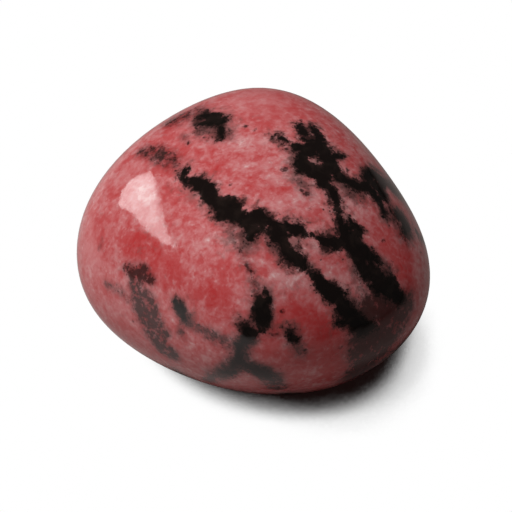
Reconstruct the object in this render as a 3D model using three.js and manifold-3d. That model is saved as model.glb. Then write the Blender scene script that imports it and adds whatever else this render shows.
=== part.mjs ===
// A tumbled rhodonite: one solid pebble of pink manganese silicate, rounded in a tumbler and polished.
// Millimetres, +Z up. -Y faces the viewer and +X is to the right of the view.
// The origin is the middle of the pebble's footprint, on the surface that it rests on.
import * as THREE from "three";
import { mergeVertices } from "three/addons/utils/BufferGeometryUtils.js";
import Module from "manifold-3d";

// The rough lump broke along these faces before it was worn round. Each one looks a certain way:
// azimuth turns from the viewer (0) towards +X (90) and elevation rises from the horizon, in degrees.
// Its distance is measured from the heart of the pebble.
const WORN_FACES = {
  crown: { azimuth: -160, elevation: 86, distance: 16.5 },
  leftShoulder: { azimuth: -72, elevation: 55, distance: 16.7 },
  rightShoulder: { azimuth: 42, elevation: 41, distance: 19.3 },
  rightFlank: { azimuth: 113, elevation: 26, distance: 16.8 },
  rightBelly: { azimuth: 79, elevation: -27, distance: 19.6 },
  frontLeft: { azimuth: -40, elevation: 10, distance: 17.0 },
  frontChin: { azimuth: 15, elevation: -32, distance: 16.2 },
  frontUndercut: { azimuth: -29, elevation: -50, distance: 12.7 },
  leftFlank: { azimuth: -106, elevation: -2, distance: 17.9 },
  leftBelly: { azimuth: -128, elevation: -19, distance: 17.5 },
  backLeft: { azimuth: -148, elevation: 17, distance: 15.4 },
  backRight: { azimuth: 162, elevation: 7, distance: 15.3 },
  backUndercut: { azimuth: 171, elevation: -54, distance: 12.4 },
  leftUndercut: { azimuth: -85, elevation: -45, distance: 14.5 },
  rightUndercut: { azimuth: 80, elevation: -45, distance: 15.0 },
  base: { azimuth: 0, elevation: -90, distance: 11.5 },
};

// How crisp the worn edges are: 2 would be a ball, and 20 almost the unworn lump.
const EDGE_SHARPNESS = 5.8;

// The pebble stands on a small spot, which is flat to this depth above its lowest point.
const RESTING_SPOT_DEPTH = 0.3;

// Each edge of the icosahedron that the surface starts from is cut into one more piece than this.
const SURFACE_DETAIL = 16;

// Wider than the pebble in every direction, for the block that trims the resting spot.
const TRIM_BLOCK_SIZE = 60;

const POLISHED_RHODONITE = new THREE.MeshStandardMaterial({
  color: 0xb4555b,
  roughness: 0.1,
  metalness: 0,
});

// The unit vector that a worn face looks along.
function outwardOf({ azimuth, elevation }) {
  const turn = THREE.MathUtils.degToRad(azimuth);
  const rise = THREE.MathUtils.degToRad(elevation);
  return new THREE.Vector3(
    Math.sin(turn) * Math.cos(rise),
    -Math.cos(turn) * Math.cos(rise),
    Math.sin(rise),
  );
}

const facePlanes = Object.values(WORN_FACES).map((face) => ({
  outward: outwardOf(face),
  distance: face.distance,
}));

// How far the pebble reaches from its heart along a unit vector. Near the middle of a worn face that
// face alone counts, and towards an edge its neighbours round it off.
function reachAlong(direction) {
  let closeness = 0;
  for (const { outward, distance } of facePlanes) {
    const facing = Math.max(0, direction.dot(outward));
    closeness += (facing / distance) ** EDGE_SHARPNESS;
  }
  return closeness ** (-1 / EDGE_SHARPNESS);
}

// The worn lump as a closed mesh about its heart.
function wornLump() {
  const lump = new THREE.IcosahedronGeometry(1, SURFACE_DETAIL);
  lump.deleteAttribute("normal");
  lump.deleteAttribute("uv");
  const position = lump.getAttribute("position");
  const point = new THREE.Vector3();
  for (let i = 0; i < position.count; i++) {
    point.fromBufferAttribute(position, i).normalize();
    point.multiplyScalar(reachAlong(point));
    position.setXYZ(i, point.x, point.y, point.z);
  }
  return mergeVertices(lump);
}

// A block whose top face is level with the resting spot.
function trimBlock(spotHeight) {
  const block = new THREE.BoxGeometry(TRIM_BLOCK_SIZE, TRIM_BLOCK_SIZE, TRIM_BLOCK_SIZE);
  block.deleteAttribute("normal");
  block.deleteAttribute("uv");
  block.translate(0, 0, spotHeight - TRIM_BLOCK_SIZE / 2);
  return mergeVertices(block);
}

const wasm = await Module();
wasm.setup();

function solidOf(geometry) {
  return new wasm.Manifold(
    new wasm.Mesh({
      numProp: 3,
      vertProperties: geometry.getAttribute("position").array,
      triVerts: new Uint32Array(geometry.index.array),
    }),
  );
}

function geometryOf(solid) {
  const { vertProperties, triVerts } = solid.getMesh();
  return new THREE.BufferGeometry()
    .setAttribute("position", new THREE.BufferAttribute(vertProperties, 3))
    .setIndex(new THREE.BufferAttribute(triVerts, 1));
}

// The pebble, trimmed flat where it rests and moved so that the middle of its footprint is the origin.
function pebbleGeometry() {
  const lump = wornLump();
  lump.computeBoundingBox();
  const spotHeight = lump.boundingBox.min.z + RESTING_SPOT_DEPTH;
  const pebble = geometryOf(solidOf(lump).subtract(solidOf(trimBlock(spotHeight))));
  pebble.computeBoundingBox();
  const middle = pebble.boundingBox.getCenter(new THREE.Vector3());
  pebble.translate(-middle.x, -middle.y, -pebble.boundingBox.min.z);
  pebble.computeVertexNormals();
  return pebble;
}

const pebble = new THREE.Mesh(pebbleGeometry(), POLISHED_RHODONITE);
pebble.name = "pebble";

const specimen = new THREE.Group();
specimen.add(pebble);

export default specimen;
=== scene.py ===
import math

import bpy
import numpy as np
from mathutils import Matrix, Vector, noise
from mathutils.bvhtree import BVHTree


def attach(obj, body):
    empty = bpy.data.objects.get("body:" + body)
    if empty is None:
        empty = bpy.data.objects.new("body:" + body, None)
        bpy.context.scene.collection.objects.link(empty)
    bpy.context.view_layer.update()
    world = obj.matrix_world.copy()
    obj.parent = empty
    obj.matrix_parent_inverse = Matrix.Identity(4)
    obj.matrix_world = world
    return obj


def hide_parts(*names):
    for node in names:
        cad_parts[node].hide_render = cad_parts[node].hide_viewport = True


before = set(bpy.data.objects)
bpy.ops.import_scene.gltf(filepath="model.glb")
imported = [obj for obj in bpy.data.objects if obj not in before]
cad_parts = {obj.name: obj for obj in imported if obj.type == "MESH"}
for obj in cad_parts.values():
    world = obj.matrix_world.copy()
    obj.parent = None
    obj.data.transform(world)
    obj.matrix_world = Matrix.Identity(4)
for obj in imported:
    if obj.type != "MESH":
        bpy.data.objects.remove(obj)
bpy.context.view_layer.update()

# The view.
# The stone is seen from the front and from halfway between level and overhead, by a long lens.
# Points of the picture are counted in pixels from its upper left corner, in a square of 512.
MM = 0.001
PICTURE_SIDE = 512
SENSOR_SIDE = 36.0
FOCAL_LENGTH = 138.5
VIEW_ELEVATION = math.radians(45)
VIEW_DISTANCE = 200 * MM
NEAREST_SEEN = 10 * MM
FURTHEST_SEEN = 10_000 * MM
STONE_HEART = Vector((-0.54, 2.24, 10.61)) * MM
HEART_IN_PICTURE = (247.1, 257.8)

focal_pixels = FOCAL_LENGTH / SENSOR_SIDE * PICTURE_SIDE
pixels_per_mm = focal_pixels / (VIEW_DISTANCE / MM)
picture_middle = PICTURE_SIDE / 2
to_viewer = Vector((0, -math.cos(VIEW_ELEVATION), math.sin(VIEW_ELEVATION)))
view_right = Vector((1, 0, 0))
view_up = to_viewer.cross(view_right)

camera_data = bpy.data.cameras.new("camera")
camera_data.lens = FOCAL_LENGTH
camera_data.sensor_width = SENSOR_SIDE
camera_data.clip_start = NEAREST_SEEN
camera_data.clip_end = FURTHEST_SEEN
camera = bpy.data.objects.new("camera", camera_data)
bpy.context.scene.collection.objects.link(camera)
sideways = (picture_middle - HEART_IN_PICTURE[0]) / pixels_per_mm * MM
upwards = (HEART_IN_PICTURE[1] - picture_middle) / pixels_per_mm * MM
camera.location = STONE_HEART + to_viewer * VIEW_DISTANCE + view_right * sideways + view_up * upwards
camera.rotation_mode = "QUATERNION"
camera.rotation_quaternion = Matrix((view_right, view_up, to_viewer)).transposed().to_quaternion()
bpy.context.scene.camera = camera

# The pebble.
# One piece of massive rhodonite, a pink manganese silicate with a sugary grain, crossed by black veins
# of manganese oxide. It was rounded in a tumbler and polished, so its whole skin is glossy.
WELD_DISTANCE = 0.001 * MM
SKIN_SUBDIVISIONS = 2
SKIN_SMOOTHING_ROUNDS = 30
SKIN_SMOOTHING_STEP = 0.5
SKIN_SMOOTHING_RETURN = -0.52


def fine_skin(node):
    """A new mesh over a solid's surface, finer than its facets and smoothed over their edges."""
    skin = bpy.data.objects.new("polished_pebble", node.data.copy())
    bpy.context.scene.collection.objects.link(skin)
    weld = skin.modifiers.new("weld", "WELD")
    weld.merge_threshold = WELD_DISTANCE
    divide = skin.modifiers.new("divide", "SUBSURF")
    divide.levels = SKIN_SUBDIVISIONS
    divide.render_levels = SKIN_SUBDIVISIONS
    graph = bpy.context.evaluated_depsgraph_get()
    fine = bpy.data.meshes.new_from_object(skin.evaluated_get(graph))
    skin.modifiers.clear()
    skin.data = fine
    return skin


def positions_of(mesh):
    """A mesh's points, one row each."""
    flat = np.zeros(len(mesh.vertices) * 3)
    mesh.vertices.foreach_get("co", flat)
    return flat.reshape(-1, 3)


def smoothed(mesh, points):
    """The points moved towards the middle of their neighbours and back again.

    That evens the skin and keeps its size.
    """
    ends = np.zeros(len(mesh.edges) * 2, int)
    mesh.edges.foreach_get("vertices", ends)
    starts, stops = ends.reshape(-1, 2).T
    count = np.bincount(ends, minlength=len(points))[:, None]
    for step in (SKIN_SMOOTHING_STEP, SKIN_SMOOTHING_RETURN) * SKIN_SMOOTHING_ROUNDS:
        total = np.zeros_like(points)
        np.add.at(total, starts, points[stops])
        np.add.at(total, stops, points[starts])
        points = points + step * (total / count - points)
    return points


pebble = fine_skin(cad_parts["pebble"])
skin_points = smoothed(pebble.data, positions_of(pebble.data))
pebble.data.vertices.foreach_set("co", skin_points.ravel())
pebble.data.update()
pebble.data.shade_smooth()
skin_tree = BVHTree.FromPolygons(
    [Vector(point) for point in skin_points],
    [tuple(face.vertices) for face in pebble.data.polygons],
)


def sight_line(pixel):
    """The direction from the camera through a point of the picture."""
    across = view_right * (pixel[0] - picture_middle)
    upward = view_up * (picture_middle - pixel[1])
    return (across + upward - to_viewer * focal_pixels).normalized()


def seen_point(pixel):
    """Where a point of the picture lies on the stone, or None beside it."""
    return skin_tree.ray_cast(camera.location, sight_line(pixel))[0]


def turned_point(azimuth, elevation):
    """Where a line from the stone's heart leaves it, by angles in degrees.

    Azimuth 0 is the front and 90 the right.
    """
    turn = math.radians(azimuth)
    rise = math.radians(elevation)
    outward = Vector((math.sin(turn) * math.cos(rise), -math.cos(turn) * math.cos(rise), math.sin(rise)))
    return skin_tree.ray_cast(STONE_HEART, outward)[0]


# The black veins that show in the picture, as points along each of them:
# (pixel across, pixel down, half its width in pixels).
SEEN_VEINS = {
    "long vein, head": [(186, 171, 3.5), (182.5, 175.5, 4.5), (186, 181, 3.5)],
    "long vein": [
        (190, 179, 4), (196, 181, 5.5), (202, 186, 7), (208, 192, 8), (213, 198, 7), (219, 203, 8),
        (225, 206, 12), (231, 212, 11), (239, 218, 7.5), (245, 221, 7), (251, 220, 9),
        (258, 217, 8.5), (264, 221, 7), (272, 227, 8), (280, 234, 8.5), (285, 240, 7.5),
        (288, 247, 8), (292, 256, 8), (299, 262, 5.5), (304, 267, 3.2), (308, 271, 2),
        (312, 274.5, 2), (316, 279, 4.5), (321, 283, 6), (327, 288, 7), (334, 296, 7.5),
        (342, 305, 7), (349, 314, 7.5), (356, 322, 7.5),
    ],
    "long vein, upper lobe": [
        (279, 229, 6), (287, 226, 5.5), (295, 229, 5.5), (302, 233, 3.5), (306, 235.5, 2),
    ],
    "long vein, lower nub": [(258, 229, 4), (250, 226, 6), (250, 232, 4.5), (250, 239, 2.5)],
    "long vein, right nub": [(334, 291, 4), (340, 291, 2.5), (347, 292.5, 1.5)],
    "long vein, left nub": [(337, 323.5, 2), (342, 322, 3), (350, 320, 5)],
    "bridge": [
        (306, 235.5, 1.5), (312, 234.5, 1.6), (318, 237, 2.8), (323, 240, 3.8), (330, 243, 4.5),
        (337, 243, 6), (345, 241, 7),
    ],
    "stem": [
        (321, 179, 6), (326.5, 185.5, 5.5), (331.5, 191.5, 4.8), (334.5, 198, 4.5), (336, 204, 4),
        (337, 210, 3.5), (338.5, 217, 3), (340.5, 224, 3.5), (344, 230, 6), (349, 236, 8.5),
        (354, 244, 9.5), (359, 254, 10), (364, 262, 10.5), (369, 271, 10), (376, 279, 9.5),
        (385, 286, 9.5), (393, 291, 9), (399, 297, 6),
    ],
    "stem, beside it": [(348, 219, 2.5), (351, 222, 4), (356, 227, 5), (359, 234, 5)],
    "stem, right spur": [(368, 256, 5), (375, 258, 3.5), (378, 263, 2)],
    "stem, shoulder": [(386, 282, 6), (391, 278, 5), (394, 282, 5)],
    "crown spot": [(299, 126, 3.2), (302, 130, 4.2), (304, 133, 3)],
    "crown arm": [
        (313.5, 126, 2), (316, 131, 4), (320, 138, 5.5), (322, 147, 6.5), (326, 158, 8),
        (330, 168, 8.5),
    ],
    "crown knob": [(303.5, 140, 2.5), (309, 142, 5), (316, 143, 6)],
    "crown patch": [
        (312, 147, 8), (307, 156, 8.5), (306, 164, 9), (300, 170, 5), (307, 170, 6), (315, 170, 8),
        (322, 175, 8), (325, 179, 6),
    ],
    "crown left arm": [(287.5, 142, 1.6), (292, 145, 3), (299, 148, 5), (305, 149, 6)],
    "crown thread": [(273, 138, 1.5), (278, 135.5, 1.8), (284, 137.5, 1.6), (287.5, 141.5, 1.6)],
    "crown right tip": [(330, 157, 4), (336, 156, 3.2), (343, 155.5, 2)],
    "right branch": [
        (332, 167, 7.5), (339, 175, 6.5), (347, 181.5, 5.5), (356, 186, 5), (365, 187.5, 5),
        (371, 190, 5.5), (375.5, 195.5, 5), (379.5, 201, 4.5), (383, 208, 3.5), (385, 213, 2),
    ],
    "right patch": [
        (367, 186, 5), (368, 178, 5), (371, 173.5, 5), (376, 177, 8), (381, 181, 8), (384, 185, 5),
    ],
    "right patch, filling": [(372, 183, 6), (377, 186, 8), (382, 192, 7), (383, 198, 5)],
    "right edge": [(399, 217, 4), (403, 220, 5), (406, 226, 5), (405, 231, 4)],
    "top patch": [
        (200, 117, 3), (206, 115.5, 5.5), (213, 117, 7.5), (219, 120.5, 7), (225, 120.5, 3),
    ],
    "top patch, lobe": [(197, 125, 2), (204, 123.5, 4), (211, 123, 5)],
    "top patch, tail": [(220, 126, 3.5), (221, 133, 2.3), (221, 138.5, 2.6)],
    "foot spot": [(177, 304, 2.5), (179.5, 308, 4.6), (182, 313, 3.8), (183.5, 318, 1.8)],
    "chin vein": [
        (241, 324, 1.5), (244, 328, 3), (248, 332, 5.5), (251, 334, 4), (246, 338, 4),
        (241, 344, 3), (239, 352, 2.5), (238, 362, 3.5), (231, 369, 2), (222, 374, 1.5),
    ],
    "chin vein, right": [
        (243, 364, 2.5), (250, 366, 2), (258, 370, 2.5), (266, 375, 3), (273, 381, 2),
    ],
    "drop": [(258, 297, 2.5), (259, 303, 4.5), (262, 309, 7.5), (264, 316, 8), (263, 322, 7)],
    "drop, strand": [(265, 290, 1.5), (268, 297, 1.8), (271, 303, 2.5)],
    "chin spot": [(291.5, 335, 3.8), (295, 338.5, 4.2)],
    "right foot": [(356, 322, 7.5), (363, 327, 7.5), (370, 327, 5)],
}

# Black specks on their own, as (pixel across, pixel down, radius in pixels).
SPECKS = [
    (244.7, 126.8, 3), (254.8, 130.2, 2), (284, 169.4, 2.6), (230.4, 184.3, 1.8),
    (279.2, 214.4, 1.8), (188.8, 143, 2), (204.5, 137.8, 2), (299.8, 120.6, 1.8), (286.3, 149.3, 2),
    (301.5, 189.5, 2.2), (306.9, 193.3, 2.8), (309.6, 208.5, 1.9), (303, 181.3, 1.8),
    (317.7, 185.7, 1.9), (329.7, 146, 2), (348, 170.5, 2), (382.8, 241, 1.8), (392, 262, 2),
    (421.3, 251.8, 1.8), (389.3, 207.4, 2.4), (382.8, 217, 2.1), (389.3, 226.4, 2.1),
    (396.9, 224.2, 1.9), (239.8, 251.2, 2.2), (247, 265, 2.1), (251.5, 270, 2.2),
    (283.2, 310.9, 2.1), (280.6, 264.5, 1.8), (270, 245, 1.9), (274, 334, 1.8), (279, 335, 1.9),
    (284.7, 335.4, 1.9), (306, 349, 1.9), (339.8, 348, 1.9), (320.4, 260.4, 1.8), (355, 300.7, 2.1),
    (352, 306.8, 1.9), (185.5, 187.5, 1.9), (210, 211, 1.9), (342.7, 207.4, 2.2), (349, 191.5, 1.8),
    (355, 195, 1.8), (345, 187, 1.8), (132, 320, 1.8), (391, 211, 1.8),
]

# Pink left standing inside the veins, as (pixel across, pixel down, radius in pixels).
VEIN_WINDOWS = [
    (313.4, 159, 3.6), (319.5, 163, 3.2), (294, 240, 6), (268, 227.5, 2.5), (344.5, 218, 3.8),
    (371, 284, 3), (267, 297.5, 2.4), (191, 174, 2), (368, 263, 1.8), (376, 267, 1.8),
    (201, 118, 1.5),
]

# Drifts of fine black oxide in the pink. Each has how thick it is, then points along it as
# (pixel across, pixel down, half its width in pixels).
SOOT_DRIFTS = {
    "left shoulder": (0.85, [
        (142, 151, 5), (151, 152, 8), (160, 155, 9), (169, 159, 8), (175, 164, 5),
    ]),
    "top left edge": (0.8, [(172, 121.5, 9), (180, 117.5, 11), (189, 114.5, 11), (199, 112.5, 8)]),
    "around the top patch": (0.8, [(198, 121, 6), (208, 122, 9), (220, 124, 8)]),
    "under the top patch": (0.6, [(196, 131, 5), (205, 134, 6), (216, 137, 6), (228, 136, 5)]),
    "left of the top patch": (0.45, [(183, 134, 3), (188, 143, 3)]),
    "left of the crown": (0.5, [(291, 151, 5), (294, 160, 6), (293, 171, 5)]),
    "under the crown": (0.5, [(298, 178, 5), (305, 185, 6), (308, 193, 5)]),
    "right of the stem": (0.55, [(338, 181, 5), (345, 189, 7), (353, 195, 7), (361, 198, 5)]),
    "right brow": (0.85, [(367, 171, 5), (375, 173, 8), (383, 178, 10), (388, 184, 9)]),
    "under the right branch": (0.55, [(376, 203, 5), (384, 211, 6), (391, 217, 6)]),
    "right edge": (0.85, [(392, 215, 8), (400, 220, 12), (406, 227, 12), (404, 235, 7)]),
    "inner stem": (0.6, [(350, 226, 5), (356, 236, 6), (361, 246, 5)]),
    "stem": (0.7, [(370, 257, 6), (378, 263, 7), (386, 270, 7), (392, 276, 6)]),
    "inside of the stem": (0.5, [(354, 268, 5), (361, 278, 6), (370, 288, 7)]),
    "long vein, below": (0.5, [(228, 226, 6), (238, 234, 6), (247, 241, 6), (254, 247, 4)]),
    "long vein, middle": (0.5, [(262, 235, 6), (271, 243, 6), (277, 252, 5)]),
    "middle, upper": (0.55, [(236, 243, 4), (240, 250, 4), (243, 257, 3)]),
    "middle, lower": (0.6, [(247, 264, 3.5), (252, 271, 3.5), (255, 282, 3.5), (256, 292, 4)]),
    "drop": (0.7, [(258, 295, 5), (263, 305, 9), (264, 318, 10)]),
    "between drop and chin": (0.5, [(257, 326, 5), (250, 328, 5), (268, 331, 4), (280, 334, 4)]),
    "chin vein": (1.1, [(248, 333, 9), (242, 345, 8.5), (239, 354, 8.5), (238, 364, 10)]),
    "chin vein, left": (1.0, [(236, 367, 8), (226, 372, 8), (214, 377, 7), (208, 381, 4)]),
    "chin vein, right": (1.0, [(244, 365, 8.5), (258, 370, 8.5), (270, 378, 10), (278, 388, 6)]),
    "chin spot": (0.6, [(292, 335, 6), (297, 345, 7), (303, 352, 6)]),
    "foot vein": (1.2, [
        (136, 275, 7), (137, 285, 7), (137, 294, 6), (139, 304, 6.5), (142, 314, 7.5),
        (149, 324, 9), (155, 335, 10), (161, 345, 10), (169, 352, 9),
    ]),
    "foot vein, left lobe": (1.05, [(128, 270, 5), (132, 273, 6), (136, 278, 6)]),
    "foot vein, right lobe": (1.05, [(140, 272, 5), (146, 275, 6), (151, 279, 4)]),
    "foot vein, strand": (1.1, [
        (145, 292, 4.5), (151, 301, 6), (154, 311, 6), (157, 321, 6), (163, 332, 6),
    ]),
    "foot vein, faint": (0.6, [(106, 284, 3), (116, 288, 4.5), (124, 296, 5), (132, 300, 4.5)]),
    "foot spot": (0.75, [(179, 306, 7), (183, 314, 6), (183, 326, 4.5), (181, 335, 3.5)]),
    "foot thread": (0.75, [
        (187, 319, 4), (195, 325, 5), (204, 331, 6), (214, 337, 6), (226, 343, 7),
    ]),
    "right foot": (1.45, [(366, 330, 14), (370, 345, 18), (369, 360, 18), (358, 374, 13)]),
    "right foot, side": (1.35, [(404, 305, 10), (397, 316, 15), (388, 332, 18), (378, 350, 17)]),
    "right foot, top": (1.7, [(359, 318, 7), (368, 314, 11), (379, 308, 13), (391, 303, 11)]),
    "right foot, inside": (0.6, [(347, 300, 5), (357, 303, 7), (366, 298, 7)]),
    "left rim": (0.4, [(102, 239, 1.5), (100, 247, 2)]),
}

# Ashen clouds in the pink, as (pixel across, pixel down, radius in pixels, strength).
ASH_CLOUDS = [
    (296, 160, 11, 0.9), (293, 148, 8, 0.7), (291, 176, 10, 0.7), (302, 184, 10, 0.8),
    (294, 241, 9, 1.0), (345, 218, 6, 1.0), (343, 188, 10, 1.0), (353, 196, 10, 1.0),
    (362, 199, 8, 0.7), (232, 238, 14, 0.8), (246, 245, 10, 0.8), (263, 228, 6, 0.9),
    (192, 196, 10, 0.6), (203, 208, 9, 0.5), (206, 132, 13, 0.8), (228, 130, 11, 0.7),
    (267, 297, 8, 0.9), (256, 281, 8, 0.8), (349, 301, 10, 1.0), (359, 305, 10, 0.9),
    (363, 291, 10, 0.7), (311, 269, 6, 1.0), (324, 291, 6, 0.6), (381, 265, 9, 1.0),
    (389, 272, 7, 0.9), (371, 286, 7, 0.8), (352, 252, 8, 0.7), (352, 268, 8, 0.6),
    (396, 218, 13, 1.0), (411, 236, 10, 0.8), (384, 219, 10, 0.8), (300, 348, 11, 0.7),
    (378, 189, 5, 0.9), (311, 134, 6, 0.8), (336, 150, 7, 0.8), (316, 161, 6, 0.9),
    (276, 248, 8, 0.7), (333, 166, 7, 0.6), (160, 156, 12, 0.6), (262, 330, 9, 0.6),
    (196, 324, 8, 0.5), (240, 268, 8, 0.4), (330, 312, 6, 0.5), (312, 246, 6, 0.4),
    (142, 246, 18, 0.3), (331, 256, 10, 0.4), (293, 284, 12, 0.35),
]

# Paler clouds (above 0) and redder ground (below 0), as
# (pixel across, pixel down, radius in pixels, strength).
# The pale ones under the softbox's glint on the left shoulder are partly a painted highlight,
# and the red ones along the right side are partly painted shade.
BLOOM_AND_PAINTED_LIGHT = [
    # The first two are partly a painted highlight, paling the ground under the softbox's glint.
    (140, 192, 15, 1.2), (155, 216, 10, 0.9), (182, 236, 13, 0.4), (204, 250, 15, 0.4),
    (229, 248, 15, 0.3), (244, 142, 12, 0.7), (272, 145, 11, 0.5), (235, 104, 22, 0.4),
    (275, 100, 20, 0.3), (285, 160, 11, 0.6), (255, 163, 11, 0.3), (262, 188, 10, 0.4),
    (290, 197, 12, 0.6), (303, 207, 12, 0.5), (281, 207, 9, 0.5), (318, 199, 11, 0.4),
    (347, 205, 11, 0.6), (357, 216, 10, 0.3), (255, 256, 12, 0.6), (244, 281, 11, 0.6),
    (281, 275, 13, 0.8), (293, 285, 14, 0.8), (302, 268, 8, 0.6), (321, 307, 9, 0.5),
    (308, 250, 9, 0.8), (325, 259, 8, 0.4), (331, 271, 7, 0.5), (348, 283, 10, 0.5),
    (196, 145, 14, 0.2), (115, 225, 14, -0.5), (136, 241, 16, -0.9), (155, 258, 14, -1.0),
    (177, 270, 14, -0.8), (201, 285, 14, -0.8), (226, 292, 16, -1.0), (218, 309, 12, -0.7),
    (285, 311, 14, -0.8), (310, 319, 17, -1.0), (332, 326, 16, -1.3), (276, 330, 10, -0.5),
    # The first three here, with (408, 285, 10, -0.3) below, redden the right side and are partly painted
    # shade.
    (400, 256, 12, -1.0), (405, 276, 13, -1.3), (409, 290, 9, -1.0), (385, 240, 13, -0.5),
    (352, 161, 11, -0.8), (366, 166, 7, -0.7), (262, 123, 15, -0.6), (301, 112, 13, -0.4),
    (172, 194, 11, -0.6), (177, 205, 10, -0.4), (236, 190, 13, -0.5), (236, 172, 14, -0.4),
    (128, 255, 12, -0.4), (290, 195, 10, -0.6), (222, 171, 14, -0.3), (168, 136, 13, -0.5),
    (333, 232, 8, -0.8), (344, 263, 9, -0.4), (252, 249, 6, -0.5), (263, 275, 6, -0.6),
    (300, 362, 26, -0.5), (330, 366, 24, -0.6), (262, 350, 14, -0.4), (255, 385, 20, -0.4),
    (90, 262, 18, 0.5), (264, 148, 12, 0.4), (408, 285, 10, -0.3), (330, 262, 9, -0.5),
    (128, 255, 14, -0.3), (288, 195, 14, -0.4),
]

# Veins on the sides that the picture doesn't show, as points along each of them:
# (azimuth, elevation, half its width in millimetres).
HIDDEN_VEINS = {
    "right patch, going on": [
        (88, 35, 0.5), (92, 30, 0.8), (95, 25, 0.9), (93, 19, 0.5), (97, 13, 0.8), (103, 6, 1.2),
        (102, -2, 0.9), (108, -9, 0.5), (106, -17, 0.5), (98, -23, 0.9), (91, -31, 1.0),
        (93, -41, 0.5),
    ],
    "right patch, spur": [(93, 29, 0.6), (101, 32, 0.5), (108, 31, 0.7), (113, 26, 0.3)],
    "right edge, going on": [
        (77, 24, 0.3), (81, 18, 0.5), (84, 11, 0.7), (82, 4, 0.4), (87, -4, 0.3),
    ],
    "right side, lobe": [(103, 6, 0.8), (112, 3, 0.6), (119, -3, 0.8), (121, -11, 0.3)],
    "right side, nub": [(102, -2, 0.7), (94, -6, 0.5), (88, -12, 0.3)],
    "right foot, going on": [
        (48, -6, 0.7), (52, -13, 1.4), (58, -22, 1.2), (66, -29, 0.9), (74, -38, 0.6),
    ],
    "right foot, arm": [(53, -12, 0.8), (62, -8, 0.7), (70, -12, 0.5), (76, -20, 0.3)],
    "back vein": [
        (-146, 45, 0.3), (-152, 41, 0.7), (-159, 36, 0.6), (-167, 31, 0.9), (-174, 26, 1.4),
        (-177, 20, 1.6), (176, 15, 1.1), (170, 9, 0.7), (171, 3, 0.6), (164, -2, 1.0),
        (156, -6, 1.3), (150, -13, 0.9), (148, -21, 0.5), (141, -27, 0.8), (134, -35, 0.6),
    ],
    "back vein, upper lobe": [
        (-174, 26, 0.9), (176, 30, 0.8), (168, 33, 0.4), (164, 39, 0.6), (160, 42, 0.3),
    ],
    "back vein, left lobe": [
        (-177, 20, 0.9), (-168, 14, 0.7), (-160, 11, 0.9), (-152, 5, 0.5), (-150, -2, 0.3),
    ],
    "back vein, nub": [(171, 3, 0.6), (178, -3, 0.7), (-178, -9, 0.4)],
    "back vein, right arm": [
        (164, -2, 0.6), (152, 5, 0.5), (145, 9, 0.3), (137, 12, 0.5), (131, 17, 0.9),
        (126, 22, 1.2), (119, 19, 0.9), (117, 13, 0.4),
    ],
    "back vein, thread": [(128, 24, 0.4), (126, 33, 0.3), (131, 40, 0.5), (129, 47, 0.3)],
    "left vein": [
        (-110, 29, 0.3), (-114, 25, 0.6), (-118, 20, 0.6), (-125, 14, 0.9), (-128, 7, 1.1),
        (-122, 0, 0.8), (-126, -8, 0.4), (-120, -16, 0.6), (-111, -21, 1.0), (-106, -29, 0.6),
        (-97, -36, 0.4),
    ],
    "left vein, lobe": [
        (-128, 7, 0.8), (-136, 3, 0.7), (-142, -4, 0.4), (-149, -8, 0.6), (-153, -14, 0.3),
    ],
    "left vein, nub": [(-122, 0, 0.6), (-114, -4, 0.4), (-107, -2, 0.5), (-101, 4, 0.3)],
    "left thread": [(-111, -21, 0.5), (-100, -17, 0.3), (-91, -19, 0.5), (-84, -14, 0.3)],
    "foot vein, going on": [(-24, -7, 0.3), (-29, -16, 0.8), (-24, -29, 0.6), (-33, -44, 0.4)],
    "chin vein, going on": [
        (13, -7, 0.4), (16, -12, 0.7), (20, -20, 0.5), (15, -32, 0.7), (22, -47, 0.5),
    ],
    "underside": [
        (-70, -58, 0.4), (-48, -63, 0.8), (-20, -60, 0.9), (5, -68, 0.6), (40, -72, 0.9),
        (75, -66, 0.5), (100, -58, 0.8), (128, -52, 0.4),
    ],
    "back foot": [(-168, -28, 0.5), (-162, -33, 1.0), (-168, -41, 0.6), (178, -47, 0.4)],
}

# Drifts of fine black oxide on those sides. Each has how thick it is, then points along it as
# (azimuth, elevation, half its width in millimetres).
HIDDEN_DRIFTS = {
    "right side": (0.8, [
        (90, 32, 1.2), (95, 22, 1.6), (103, 4, 2.0), (104, -14, 1.6), (94, -30, 2.0),
    ]),
    "right side, beside it": (0.6, [(110, 30, 1.2), (114, 6, 1.6), (122, -8, 1.4)]),
    "right foot": (1.1, [(46, -2, 2.0), (52, -12, 2.4), (59, -22, 2.4), (70, -34, 2.0)]),
    "back": (0.8, [
        (-150, 42, 1.2), (-166, 32, 1.8), (-178, 18, 2.4), (168, 4, 2.0), (154, -10, 2.0),
    ]),
    "back, left": (0.6, [(-166, 12, 1.6), (-150, 2, 1.8), (-140, -4, 1.4)]),
    "back, right patch": (0.8, [(134, 16, 1.4), (124, 22, 2.0), (117, 12, 1.4)]),
    "left side": (0.75, [
        (-112, 27, 1.0), (-118, 20, 1.5), (-127, 6, 2.0), (-121, -14, 1.4), (-108, -26, 1.6),
    ]),
    "back foot": (0.7, [(-168, -26, 1.6), (-164, -36, 2.0), (176, -46, 1.6)]),
    "front foot": (0.7, [(-25, -7, 1.0), (-27, -16, 1.6), (-28, -36, 1.6)]),
    "chin": (0.7, [(13, -7, 1.0), (17, -16, 1.4), (18, -36, 1.6)]),
}

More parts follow.
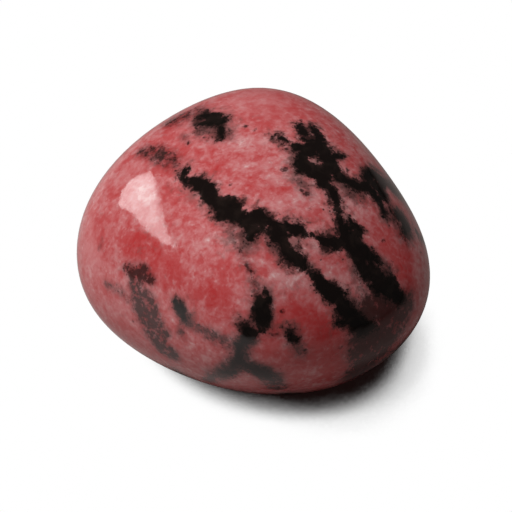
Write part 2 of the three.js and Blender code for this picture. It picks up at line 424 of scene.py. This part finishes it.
# Paler clouds (above 0) and redder ground (below 0) there, as
# (azimuth, elevation, radius in millimetres, strength).
HIDDEN_BLOOM = [
    (-145, 28, 3.0, 0.9), (158, 22, 3.0, 0.8), (-166, -2, 2.6, -1.0), (146, -2, 2.4, 0.8),
    (116, -22, 2.6, -1.0), (-100, -8, 3.0, -0.8), (-138, -22, 2.6, 0.8), (172, -22, 2.8, 0.7),
    (112, 44, 3.0, 0.6), (-112, 8, 2.0, 0.9), (140, 32, 2.6, -0.9), (-158, 22, 2.2, -0.8),
    (80, -4, 2.6, -0.8), (94, 8, 1.8, 0.8), (-90, 20, 3.0, 0.4), (-125, 34, 3.0, -0.7),
    (130, 2, 2.4, -0.6), (-72, -20, 3.0, 0.5), (0, -24, 3.0, -0.6), (40, -30, 3.0, 0.5),
]

# Where the grain of the pink is calm, as (pixel across, pixel down, radius in pixels, strength).
CALM_SPOTS = [
    (262, 95, 45, 1.0), (200, 120, 35, 0.6), (92, 245, 28, 1.0), (120, 175, 30, 0.6),
    (115, 310, 30, 0.5),
]

skin_mm = skin_points / MM
RUN_STEP = 0.8 * MM
SHORTEST_STRETCH = 1e-9


def wandering(points, reach, size):
    """The points pushed about by smooth noise, so that what is drawn along a line wanders."""
    pushes = [noise.noise_vector(Vector(point) / size) for point in points]
    return points + reach * np.array(pushes)


def along_skin(points):
    """A finer run of (point, half width) along the stone's surface, in millimetres."""
    run = []
    for (start, start_half), (stop, stop_half) in zip(points, points[1:]):
        pieces = max(1, math.ceil((stop - start).length / RUN_STEP))
        for i in range(pieces):
            share = i / pieces
            place = skin_tree.find_nearest(start.lerp(stop, share))[0]
            run.append((np.array(place) / MM, start_half + share * (stop_half - start_half)))
    last, last_half = points[-1]
    run.append((np.array(last) / MM, last_half))
    return run


def seen_run(stroke):
    """A run along the stone from points of the picture. A point beside the stone is passed over."""
    places = [(seen_point(point), point[2] / pixels_per_mm) for point in stroke]
    return along_skin([(place, half) for place, half in places if place])


def turned_run(stroke):
    """A run along the stone from azimuths and elevations."""
    return along_skin([(turned_point(azimuth, elevation), half) for azimuth, elevation, half in stroke])


def distance_to_run(points, run):
    """How far each point is outside a run of round width, in millimetres, and below 0 inside it."""
    nearest = np.full(len(points), np.inf)
    for (start, start_half), (stop, stop_half) in zip(run, run[1:]):
        stretch = stop - start
        share = np.clip((points - start) @ stretch / max(stretch @ stretch, SHORTEST_STRETCH), 0, 1)
        centre = start + share[:, None] * stretch
        half = start_half + share * (stop_half - start_half)
        nearest = np.minimum(nearest, np.linalg.norm(points - centre, axis=1) - half)
    return nearest


def distance_to(points, place):
    """How far each point is from a place on the stone, in millimetres."""
    return np.linalg.norm(points - np.array(place) / MM, axis=1)


# What the picture shows is drawn on points that wander a little, and the other sides on wilder ones.
WANDER_SEED = 7
noise.seed_set(WANDER_SEED)
drawn_points = wandering(wandering(skin_mm, reach=0.25, size=1.3), reach=0.12, size=0.55)
wild_points = wandering(drawn_points, reach=0.8, size=2.6)

# How far the nearest vein and the nearest speck are, in millimetres and up to a limit.
GAP_LIMIT = 4.0
vein_gap = np.full(len(skin_mm), GAP_LIMIT)
for stroke in SEEN_VEINS.values():
    vein_gap = np.minimum(vein_gap, distance_to_run(drawn_points, seen_run(stroke)))
for window in VEIN_WINDOWS:
    inside = window[2] / pixels_per_mm - distance_to(drawn_points, seen_point(window))
    vein_gap = np.maximum(vein_gap, inside)
for stroke in HIDDEN_VEINS.values():
    vein_gap = np.minimum(vein_gap, distance_to_run(wild_points, turned_run(stroke)))
speck_gap = np.full(len(skin_mm), GAP_LIMIT)
for speck in SPECKS:
    outside = distance_to(drawn_points, seen_point(speck)) - speck[2] / pixels_per_mm
    speck_gap = np.minimum(speck_gap, outside)

# How thick the soot lies. A drift starts to thin out this share of its half width inside its edge.
DRIFT_EDGE = 0.6


def drift(thickness, run, points):
    """How much soot a drift leaves at each point."""
    mean_half = np.mean([half for place, half in run])
    gap = distance_to_run(points, run)
    return thickness * np.exp(-(np.maximum(gap / mean_half + DRIFT_EDGE, 0) ** 2))


soot_depth = np.zeros(len(skin_mm))
for thickness, stroke in SOOT_DRIFTS.values():
    soot_depth = np.maximum(soot_depth, drift(thickness, seen_run(stroke), drawn_points))
for thickness, stroke in HIDDEN_DRIFTS.values():
    soot_depth = np.maximum(soot_depth, drift(thickness, turned_run(stroke), wild_points))

# How strong the ashen clouds, the calm of the grain, and the blooms with their painted highlight and
# painted shade are.
BLOOM_AND_LIGHT_LIMIT = 1.4


def round_cloud(distance, radius):
    """1 in the middle of a round cloud, and almost nothing at twice its radius."""
    return np.exp(-((distance / radius) ** 2))


def seen_cloud(spot):
    """A round cloud at a spot of the picture, with the strength that the spot gives."""
    distance = distance_to(drawn_points, seen_point(spot))
    return spot[3] * round_cloud(distance, spot[2] / pixels_per_mm)


ash_strength = np.zeros(len(skin_mm))
for ash_spot in ASH_CLOUDS:
    ash_strength = np.maximum(ash_strength, seen_cloud(ash_spot))
calm_strength = np.zeros(len(skin_mm))
for calm_spot in CALM_SPOTS:
    calm_strength = np.maximum(calm_strength, seen_cloud(calm_spot))
bloom_and_light_strength = np.zeros(len(skin_mm))
for bloom_and_light_spot in BLOOM_AND_PAINTED_LIGHT:
    bloom_and_light_strength += seen_cloud(bloom_and_light_spot)
for azimuth, elevation, radius, strength in HIDDEN_BLOOM:
    bloom_distance = distance_to(wild_points, turned_point(azimuth, elevation))
    bloom_and_light_strength += strength * round_cloud(bloom_distance, radius)

skin_fields = {
    "vein_gap": vein_gap,
    "speck_gap": speck_gap,
    "soot": soot_depth,
    "ash": ash_strength,
    "bloom_and_painted_light": np.clip(bloom_and_light_strength, -BLOOM_AND_LIGHT_LIMIT, BLOOM_AND_LIGHT_LIMIT),
    "calm": calm_strength,
}
for field_name, field_values in skin_fields.items():
    attribute = pebble.data.attributes.new(field_name, "FLOAT", "POINT")
    attribute.data.foreach_set("value", field_values.astype(np.float32))

# The stone's material: pink ground, ashen clouds, soot, black veins and specks, and a glassy polish.
DEEP_RED = (0.47, 0.043, 0.044)
ROSE_RED = (0.50, 0.085, 0.087)
ROSE_PINK = (0.55, 0.150, 0.153)
PALE_PINK = (0.60, 0.255, 0.255)
MILKY_PINK = (0.68, 0.42, 0.41)
ASHEN_ROSE = (0.23, 0.105, 0.100)
SOOT_BROWN = (0.034, 0.014, 0.0125)
OXIDE_BLACK = (0.0040, 0.0030, 0.0024)
OXIDE_BROWN = (0.0095, 0.0065, 0.0050)
RHODONITE_IOR = 1.54

stone = bpy.data.materials.new("polished_rhodonite")
stone.use_nodes = True
tree = stone.node_tree
tree.nodes.clear()


def add_node(kind, values, **settings):
    """A new node in the shader tree that is being built.

    Each value goes to the input of that name or number: a plain value, or an output to link to it.
    """
    made = tree.nodes.new(kind)
    for name, value in settings.items():
        setattr(made, name, value)
    for name, value in values.items():
        if isinstance(value, bpy.types.NodeSocket):
            tree.links.new(value, made.inputs[name])
        else:
            made.inputs[name].default_value = value
    return made


def number_math(operation, first, second):
    return add_node("ShaderNodeMath", {0: first, 1: second}, operation=operation).outputs[0]


def vector_math(operation, values):
    return add_node("ShaderNodeVectorMath", values, operation=operation)


def sum_of(first, *others):
    for other in others:
        first = number_math("ADD", first, other)
    return first


def product_of(first, second):
    return number_math("MULTIPLY", first, second)


def spread(value, reach):
    """A noise value of 0 to 1 as one of -reach to reach."""
    ranges = {"Value": value, "To Min": -reach, "To Max": reach}
    return add_node("ShaderNodeMapRange", ranges, clamp=False).outputs[0]


def fade(value, full, none):
    """1 where a value is at full, 0 where it is at none, and smooth between them."""
    ranges = {"Value": value, "From Min": none, "From Max": full}
    return add_node("ShaderNodeMapRange", ranges, interpolation_type="SMOOTHSTEP").outputs[0]


def mixed(share, first, second):
    """The first colour, with a share of the second laid over it."""
    node = add_node("ShaderNodeMix", {0: share}, data_type="RGBA")
    for socket, paint in ((node.inputs[6], first), (node.inputs[7], second)):
        if isinstance(paint, bpy.types.NodeSocket):
            tree.links.new(paint, socket)
        else:
            socket.default_value = (*paint, 1)
    return node.outputs[2]


def skin_value(name):
    return add_node("ShaderNodeAttribute", {}, attribute_name=name).outputs["Fac"]


place_m = add_node("ShaderNodeTexCoord", {}).outputs["Object"]
place_mm = vector_math("SCALE", {0: place_m, "Scale": 1 / MM}).outputs[0]


def cloud(per_mm, detail, roughness, where=place_mm, distortion=0.0):
    """Fractal noise of 0 to 1, with about this many swells to the millimetre."""
    values = {
        "Vector": where,
        "Scale": per_mm,
        "Detail": detail,
        "Roughness": roughness,
        "Distortion": distortion,
    }
    return add_node("ShaderNodeTexNoise", values).outputs[0]


# Fibres of the silicate run one way through the stone, so their noise is drawn out along it.
FIBRE_WAY = Vector((0.80, 0.42, 0.42)).normalized()
FIBRE_STRETCH = 2.0
along_fibre = vector_math("DOT_PRODUCT", {0: place_mm, 1: FIBRE_WAY}).outputs["Value"]
squeeze = product_of(along_fibre, 1 / FIBRE_STRETCH - 1)
fibre_shift = vector_math("SCALE", {0: FIBRE_WAY, "Scale": squeeze}).outputs[0]
fibre_place = vector_math("ADD", {0: place_mm, 1: fibre_shift}).outputs[0]

broad_cloud = cloud(per_mm=0.22, detail=4, roughness=0.6)
patchy_cloud = cloud(per_mm=0.62, detail=4, roughness=0.58, distortion=0.6)
mottle = cloud(per_mm=1.3, detail=3, roughness=0.55, distortion=0.4)
sugar_grain = cloud(per_mm=2.6, detail=3, roughness=0.6)
fibre_grain = cloud(per_mm=2.0, detail=3, roughness=0.55, where=fibre_place)
flecks = cloud(per_mm=2.0, detail=2, roughness=0.55)
ragged_edge = cloud(per_mm=0.9, detail=5, roughness=0.62)
mossy_edge = cloud(per_mm=2.3, detail=3, roughness=0.62)
dust_grain = cloud(per_mm=3.8, detail=2, roughness=0.6)

# Pink ground, from deep red at the lowest tone to milky pink at 1.
MEAN_TONE = 0.50
BLOOM_AND_LIGHT_TONE = 0.23
FLECK_TONE = 0.15
CALMING = 0.6
TONE_BANDS = ((0.38, ROSE_RED), (0.57, ROSE_PINK), (0.80, PALE_PINK))
LOWEST_TONE = 0.10
grain = sum_of(
    spread(patchy_cloud, reach=0.50),
    spread(mottle, reach=0.38),
    spread(fibre_grain, reach=0.12),
    spread(sugar_grain, reach=0.14),
    product_of(fade(flecks, full=0.70, none=0.57), FLECK_TONE),
)
liveliness = sum_of(1.0, product_of(skin_value("calm"), -CALMING))
# The tone takes in the blooms, which are partly a painted highlight and painted shade.
tone = sum_of(
    MEAN_TONE,
    product_of(skin_value("bloom_and_painted_light"), BLOOM_AND_LIGHT_TONE),
    spread(broad_cloud, reach=0.26),
    product_of(grain, liveliness),
)
ground = add_node("ShaderNodeValToRGB", {0: tone})
bands = ground.color_ramp.elements
bands[0].position = LOWEST_TONE
bands[0].color = (*DEEP_RED, 1)
bands[1].position = 1.0
bands[1].color = (*MILKY_PINK, 1)
for band_tone, band_colour in TONE_BANDS:
    bands.new(band_tone).color = (*band_colour, 1)
colour = ground.outputs[0]

# Ashen clouds, most of them beside the veins.
VEIN_ASH = 0.70
CLOUD_ASH = 0.75
vein = skin_value("vein_gap")
ashy_gap = sum_of(vein, spread(patchy_cloud, reach=2.2), spread(mossy_edge, reach=0.6))
beside_vein = product_of(fade(ashy_gap, full=-0.3, none=1.2), VEIN_ASH)
ash = sum_of(skin_value("ash"), spread(mossy_edge, reach=0.8), spread(ragged_edge, reach=0.6))
ashy = product_of(fade(ash, full=1.0, none=0.1), CLOUD_ASH)
colour = mixed(beside_vein, colour, ASHEN_ROSE)
colour = mixed(ashy, colour, ASHEN_ROSE)

# Drifts of fine black oxide, as curls of smoke with grains of soot where they are thin.
EVEN_SMOKE = 0.40
CURLED_SMOKE = 0.45
THICKEST_SMOKE = 0.93
GRAIN_DARKNESS = 0.6
soot = skin_value("soot")
small_curls = product_of(fade(mossy_edge, full=0.64, none=0.36), CURLED_SMOKE)
large_curls = product_of(fade(ragged_edge, full=0.60, none=0.40), CURLED_SMOKE)
curls = sum_of(small_curls, large_curls)
smoke = product_of(soot, sum_of(EVEN_SMOKE, curls))
smoke = number_math("MINIMUM", smoke, THICKEST_SMOKE)
colour = mixed(smoke, colour, SOOT_BROWN)
soot_grains = fade(sum_of(soot, spread(dust_grain, reach=1.3)), full=0.95, none=0.75)
soot_grains = product_of(soot_grains, fade(soot, full=0.35, none=0.12))
soot_grains = product_of(soot_grains, fade(soot, full=0.60, none=0.95))
colour = mixed(product_of(soot_grains, GRAIN_DARKNESS), colour, OXIDE_BLACK)

# Black veins with ragged, mossy edges, and smoke and dust beside them.
VEIN_SMOKE = 0.70
DUST_DARKNESS = 0.8
VEIN_DARKNESS = 0.97
smoky_gap = sum_of(vein, spread(patchy_cloud, reach=1.8), spread(mossy_edge, reach=0.9))
colour = mixed(product_of(fade(smoky_gap, full=-0.25, none=0.65), VEIN_SMOKE), colour, SOOT_BROWN)
torn_gap = sum_of(vein, spread(ragged_edge, reach=0.6), spread(mossy_edge, reach=0.5))
core = fade(torn_gap, full=-0.10, none=0.20)
dusty_gap = sum_of(vein, spread(dust_grain, reach=1.3), spread(patchy_cloud, reach=1.2))
dust = product_of(fade(dusty_gap, full=-0.12, none=0.28), DUST_DARKNESS)
vein_mask = number_math("MAXIMUM", core, dust)
oxide = mixed(fade(patchy_cloud, full=0.65, none=0.45), OXIDE_BLACK, OXIDE_BROWN)
colour = mixed(product_of(vein_mask, VEIN_DARKNESS), colour, oxide)

# Black specks: the ones that are drawn, and small ones that stray from the veins.
SPECK_DARKNESS = 0.85
STRAY_DARKNESS = 0.8
STRAY_CELLS_PER_MM = 1.5
STRAY_REACH = 0.18
NEAR_VEIN_CHANCE = 0.26
torn_speck = sum_of(skin_value("speck_gap"), spread(dust_grain, reach=0.25))
drawn_speck = product_of(fade(torn_speck, full=-0.12, none=0.12), SPECK_DARKNESS)
colour = mixed(drawn_speck, colour, OXIDE_BLACK)
cell = add_node("ShaderNodeTexVoronoi", {
    "Vector": place_mm, "Scale": STRAY_CELLS_PER_MM, "Randomness": 1.0,
})
chance = add_node("ShaderNodeSeparateColor", {0: cell.outputs["Color"]}).outputs[0]
likely = sum_of(chance, product_of(fade(vein, full=0.2, none=2.2), NEAR_VEIN_CHANCE))
stray_size = fade(likely, full=1.25, none=0.98)
stray_gap = sum_of(
    cell.outputs["Distance"],
    product_of(stray_size, -STRAY_REACH),
    spread(mossy_edge, reach=0.14),
)
stray_speck = product_of(fade(stray_gap, full=-0.03, none=0.06), fade(stray_size, full=0.15, none=0.02))
colour = mixed(product_of(stray_speck, STRAY_DARKNESS), colour, OXIDE_BLACK)

# Polish, a little duller on the veins, which wore down deeper than the pink.
POLISH_ROUGHNESS = 0.07
VEIN_ROUGHNESS = 0.05
GRAIN_RELIEF = 0.25
VEIN_RELIEF = -0.35
RELIEF_DEPTH = 0.01 * MM
gloss = sum_of(POLISH_ROUGHNESS, product_of(vein_mask, VEIN_ROUGHNESS), spread(sugar_grain, reach=0.03))
relief = sum_of(product_of(sugar_grain, GRAIN_RELIEF), product_of(vein_mask, VEIN_RELIEF))
bump = add_node("ShaderNodeBump", {"Height": relief, "Distance": RELIEF_DEPTH, "Strength": 1.0})
surface = add_node("ShaderNodeBsdfPrincipled", {
    "Base Color": colour, "Roughness": gloss, "IOR": RHODONITE_IOR, "Normal": bump.outputs[0],
})
add_node("ShaderNodeOutputMaterial", {"Surface": surface.outputs[0]})

pebble.data.materials.clear()
pebble.data.materials.append(stone)
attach(pebble, "root")
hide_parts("pebble")

# The table and the light.
# A white table top that shows the camera a white glow, with a painted shadow close under the stone.
# One softbox stands on the left and a little behind the stone, in a dim room.
FLOOR_HALF_SIDE = 600 * MM
# FLOOR_LIT and FLOOR_DIM are painted light and painted shade on the grey that the table throws back onto
# the stone.
FLOOR_LIT = (0.60, 0.53, 0.52)
FLOOR_DIM = (0.23, 0.19, 0.18)
FLOOR_LIT_WAY = (-0.97, -0.24, 0.0)
FLOOR_LIT_FROM = 60 * MM
FLOOR_DIM_FROM = -28 * MM
FLOOR_NEAR = 60 * MM
FLOOR_FAR = 420 * MM
SHADE_SAMPLES = 32
SHADE_TINT = (0.007, 0.0032, 0.0030)
CLOSE_REACH = 8 * MM
CLOSE_LEAN = (-0.61, -0.45, 1.0)
CLOSE_DARKEST = 0.506
CLOSE_GONE = 0.671
WIDE_REACH = 12 * MM
WIDE_LEAN = (-1.33, 0.08, 1.0)
WIDE_DARKEST = 0.456
WIDE_GONE = 0.558
WIDE_DEPTH = 0.36

floor_mesh = bpy.data.meshes.new("floor")
corners = [(-1, -1, 0), (1, -1, 0), (1, 1, 0), (-1, 1, 0)]
floor_mesh.from_pydata([Vector(corner) * FLOOR_HALF_SIDE for corner in corners], [], [(0, 1, 2, 3)])
floor = bpy.data.objects.new("floor", floor_mesh)
bpy.context.scene.collection.objects.link(floor)
white = bpy.data.materials.new("white_table")
white.use_nodes = True
tree = white.node_tree
tree.nodes.clear()


def open_sky(lean, reach):
    """How much of a cone of sky, leaned from upright, a point of the table sees past the stone."""
    lean = Vector(lean).normalized()
    way = add_node("ShaderNodeCombineXYZ", {0: lean.x, 1: lean.y, 2: lean.z}).outputs[0]
    values = {"Distance": reach, "Normal": way}
    return add_node("ShaderNodeAmbientOcclusion", values, samples=SHADE_SAMPLES).outputs["AO"]


# Looked at straight, the table glows white, with a close and a wide painted shadow.
close_shade = fade(open_sky(CLOSE_LEAN, CLOSE_REACH), full=CLOSE_GONE, none=CLOSE_DARKEST)
wide_shade = fade(open_sky(WIDE_LEAN, WIDE_REACH), full=WIDE_GONE, none=WIDE_DARKEST)
wide_shade = sum_of(1 - WIDE_DEPTH, product_of(wide_shade, WIDE_DEPTH))
shade = product_of(close_shade, wide_shade)
glow_with_painted_shadow = add_node("ShaderNodeEmission", {"Color": mixed(shade, SHADE_TINT, (1, 1, 1))}).outputs[0]

# What it throws back onto the stone is a painted grey: lighter to its left, darker in the painted close
# shadow, and fading further away.
floor_place = add_node("ShaderNodeNewGeometry", {}).outputs["Position"]
towards_lit = vector_math("DOT_PRODUCT", {0: floor_place, 1: FLOOR_LIT_WAY}).outputs["Value"]
from_stone = vector_math("LENGTH", {0: floor_place}).outputs["Value"]
lit_share = fade(towards_lit, full=FLOOR_LIT_FROM, none=FLOOR_DIM_FROM)
lit_grey = mixed(lit_share, FLOOR_DIM, FLOOR_LIT)
reached = product_of(close_shade, fade(from_stone, full=FLOOR_NEAR, none=FLOOR_FAR))
shaded_grey = vector_math("SCALE", {0: lit_grey, "Scale": reached}).outputs[0]
lit_white = add_node("ShaderNodeBsdfDiffuse", {"Color": shaded_grey}).outputs[0]
to_camera = add_node("ShaderNodeLightPath", {}).outputs["Is Camera Ray"]
table_top = add_node("ShaderNodeMixShader", {0: to_camera, 1: lit_white, 2: glow_with_painted_shadow}).outputs[0]
add_node("ShaderNodeOutputMaterial", {"Surface": table_top})
floor_mesh.materials.append(white)

# The softbox is cut so that its mirror image has the corners that the picture shows on the stone.
HIGHLIGHT_CORNERS = [
    (117.5, 204.5), (120, 197), (124, 188), (131, 180.5), (142, 175), (151, 171), (155, 180),
    (156.6, 198), (160, 214.5), (164, 226), (171, 238), (176, 248), (165, 245), (155.6, 237),
    (146, 228), (138, 220), (132, 213), (125, 207.5),
]
SOFTBOX_DISTANCE = 400 * MM
SOFTBOX_RADIANCE = 4.8


def mirrored(pixel):
    """Where a line of sight meets the polished stone, and the way that it goes on from there."""
    sight = sight_line(pixel)
    hit, normal = skin_tree.ray_cast(camera.location, sight)[:2]
    return hit, sight.reflect(normal)


glances = [mirrored(corner) for corner in HIGHLIGHT_CORNERS]
softbox_way = sum((way for hit, way in glances), Vector()).normalized()
softbox_middle = STONE_HEART + softbox_way * SOFTBOX_DISTANCE
softbox_corners = [
    hit + way * ((softbox_middle - hit).dot(softbox_way) / way.dot(softbox_way)) for hit, way in glances
]
softbox_mesh = bpy.data.meshes.new("softbox")
softbox_mesh.from_pydata(softbox_corners, [], [tuple(range(len(softbox_corners)))])
softbox = bpy.data.objects.new("softbox", softbox_mesh)
bpy.context.scene.collection.objects.link(softbox)
softbox.visible_camera = False
glow = bpy.data.materials.new("softbox_cloth")
glow.use_nodes = True
glow_surface = glow.node_tree.nodes["Principled BSDF"]
glow_surface.inputs["Base Color"].default_value = (0, 0, 0, 1)
glow_surface.inputs["Emission Color"].default_value = (1, 1, 1, 1)
glow_surface.inputs["Emission Strength"].default_value = SOFTBOX_RADIANCE
softbox_mesh.materials.append(glow)

# A broad lamp, high on the left, lights the stone and isn't mirrored in it.
LAMP_AZIMUTH = math.radians(-96)
LAMP_ELEVATION = math.radians(66)
LAMP_DISTANCE = 500 * MM
LAMP_SIDE = 200 * MM
LAMP_POWER = 2.02
lamp_way = Vector((
    math.sin(LAMP_AZIMUTH) * math.cos(LAMP_ELEVATION),
    -math.cos(LAMP_AZIMUTH) * math.cos(LAMP_ELEVATION),
    math.sin(LAMP_ELEVATION),
))
lamp_data = bpy.data.lights.new("lamp", "AREA")
lamp_data.size = LAMP_SIDE
lamp_data.energy = LAMP_POWER
lamp = bpy.data.objects.new("lamp", lamp_data)
bpy.context.scene.collection.objects.link(lamp)
lamp.location = STONE_HEART + lamp_way * LAMP_DISTANCE
lamp.rotation_mode = "QUATERNION"
lamp.rotation_quaternion = lamp_way.to_track_quat("Z", "Y")
lamp.visible_glossy = False

# The room gives soft light from all round, and is dark where the stone mirrors it.
ROOM_LIGHT = (0.17, 0.17, 0.17)
ROOM_MIRRORED = (0.035, 0.035, 0.035)
room = bpy.data.worlds.new("room")
room.use_nodes = True
tree = room.node_tree
in_mirror = add_node("ShaderNodeLightPath", {}).outputs["Is Glossy Ray"]
tree.links.new(mixed(in_mirror, ROOM_LIGHT, ROOM_MIRRORED), tree.nodes["Background"].inputs["Color"])
bpy.context.scene.world = room
bpy.context.scene.view_settings.view_transform = "Standard"
